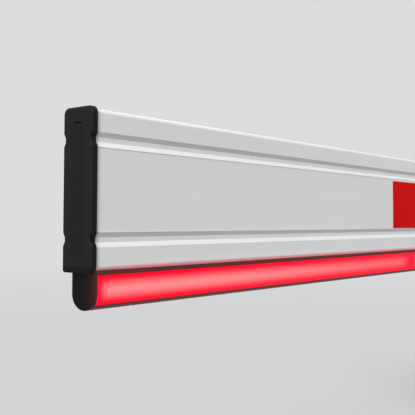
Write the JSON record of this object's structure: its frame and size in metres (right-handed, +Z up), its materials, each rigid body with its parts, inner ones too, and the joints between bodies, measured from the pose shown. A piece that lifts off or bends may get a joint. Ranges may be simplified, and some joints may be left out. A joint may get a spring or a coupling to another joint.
{
  "type": "parking barrier gate",
  "caption": "Parking barrier gate: floor cabinet with geared drive and hinged door, and a slim aluminium boom with a lit red lower edge, black end caps and red fields.",
  "frame": {"origin": "centre of the anchor bolt pattern on the ground face", "axes": "+Z up; the boom lies along -X, outside the -Y wall; the service door is on the +Y side"},
  "size_m": [2.8588, 0.348, 1.03],
  "materials": {
    "cabinet": "powder coat, fine texture",
    "roof": "powder coat, fine texture",
    "zinc_steel": "zinc plated",
    "frame_steel": "primed and painted",
    "shaft_steel": "turned",
    "cast_alloy": "die cast, painted",
    "boom_aluminium": "extruded, satin anodised",
    "black_plastic": "moulded",
    "red_lens": "diffusing, lit",
    "board": "white solder mask",
    "red_tape": "retroreflective film",
    "rubber": "moulded",
    "spring_steel": "oil tempered",
    "grey_plastic": "moulded"
  },
  "bodies": {
    "cabinet": {"base_plate": "zinc_steel", "cabinet_shell": "cabinet", "cabinet_roof": "roof", "roof_screws": "zinc_steel", "door_seal": "rubber", "hinge_frame_leaves": "black_plastic", "hinge_pins": "shaft_steel", "shelf_brackets": "frame_steel", "drive_frame": "frame_steel", "rail_bolts": "zinc_steel", "tie_bars": "zinc_steel", "front_bearing": "cast_alloy", "rear_bearing": "cast_alloy", "drive_screws": "zinc_steel", "stop_brackets": "frame_steel", "stop_buffers": "rubber", "stop_studs": "zinc_steel", "balance_spring": "spring_steel", "gearbox_housing": "cast_alloy", "motor_flange": "cast_alloy", "motor_housing": "cast_alloy", "motor_end_bell": "cast_alloy", "limit_switches": "grey_plastic", "switch_bracket": "zinc_steel", "mounting_plate": "zinc_steel", "plate_spacers": "zinc_steel", "din_rail": "zinc_steel", "power_supply": "grey_plastic", "circuit_breaker": "grey_plastic", "terminal_clamps": "grey_plastic", "control_unit": "black_plastic", "shaft_rosette": "black_plastic"},
    "boom": {"boom_profile": "boom_aluminium", "boom_tip_cap": "black_plastic", "boom_root_cap": "black_plastic", "led_carrier": "black_plastic", "led_lenses": "red_lens", "led_boards": "board", "led_end_caps": "black_plastic", "red_reflective_tape": "red_tape", "boom_holder": "frame_steel", "boom_clamp_plate": "frame_steel", "clamp_bolts": "zinc_steel", "clamp_spacers": "zinc_steel", "boom_hub": "shaft_steel", "hub_screws": "zinc_steel", "hub_end_bolt": "zinc_steel", "main_shaft": "shaft_steel", "shaft_keys": "shaft_steel", "stop_lever": "frame_steel", "spring_collar": "frame_steel", "gearbox_output_sleeve": "shaft_steel", "limit_cam": "black_plastic"},
    "motor_rotor": {"motor_shaft": "shaft_steel", "hand_wheel": "black_plastic"},
    "door": {"cabinet_door": "cabinet", "hinge_door_leaves": "black_plastic", "lock_housing": "zinc_steel"},
    "door_lock": {"lock_core": "shaft_steel", "lock_cam": "zinc_steel"}
  },
  "joints": [
    {"name": "boom_lift", "type": "hinge", "parent": "cabinet", "child": "boom", "pos_m": [0, 0, 0.86], "axis": [0, 1, 0], "range_deg": [0, 90]},
    {"name": "motor_spin", "type": "hinge", "parent": "cabinet", "child": "motor_rotor", "pos_m": [0.06, 0.0375, 0.611], "axis": [0, 0, 1], "range_deg": [0, 5400]},
    {"name": "door_swing", "type": "hinge", "parent": "cabinet", "child": "door", "pos_m": [0.167, 0.1215, 0.506], "axis": [0, 0, -1], "range_deg": [0, 110]},
    {"name": "lock_turn", "type": "hinge", "parent": "door", "child": "door_lock", "pos_m": [-0.12, 0.1425, 0.506], "axis": [0, 1, 0], "range_deg": [0, 90]}
  ],
  "couplings": [
    {"joint": "motor_spin", "follows": "boom_lift", "ratio": 60}
  ]
}
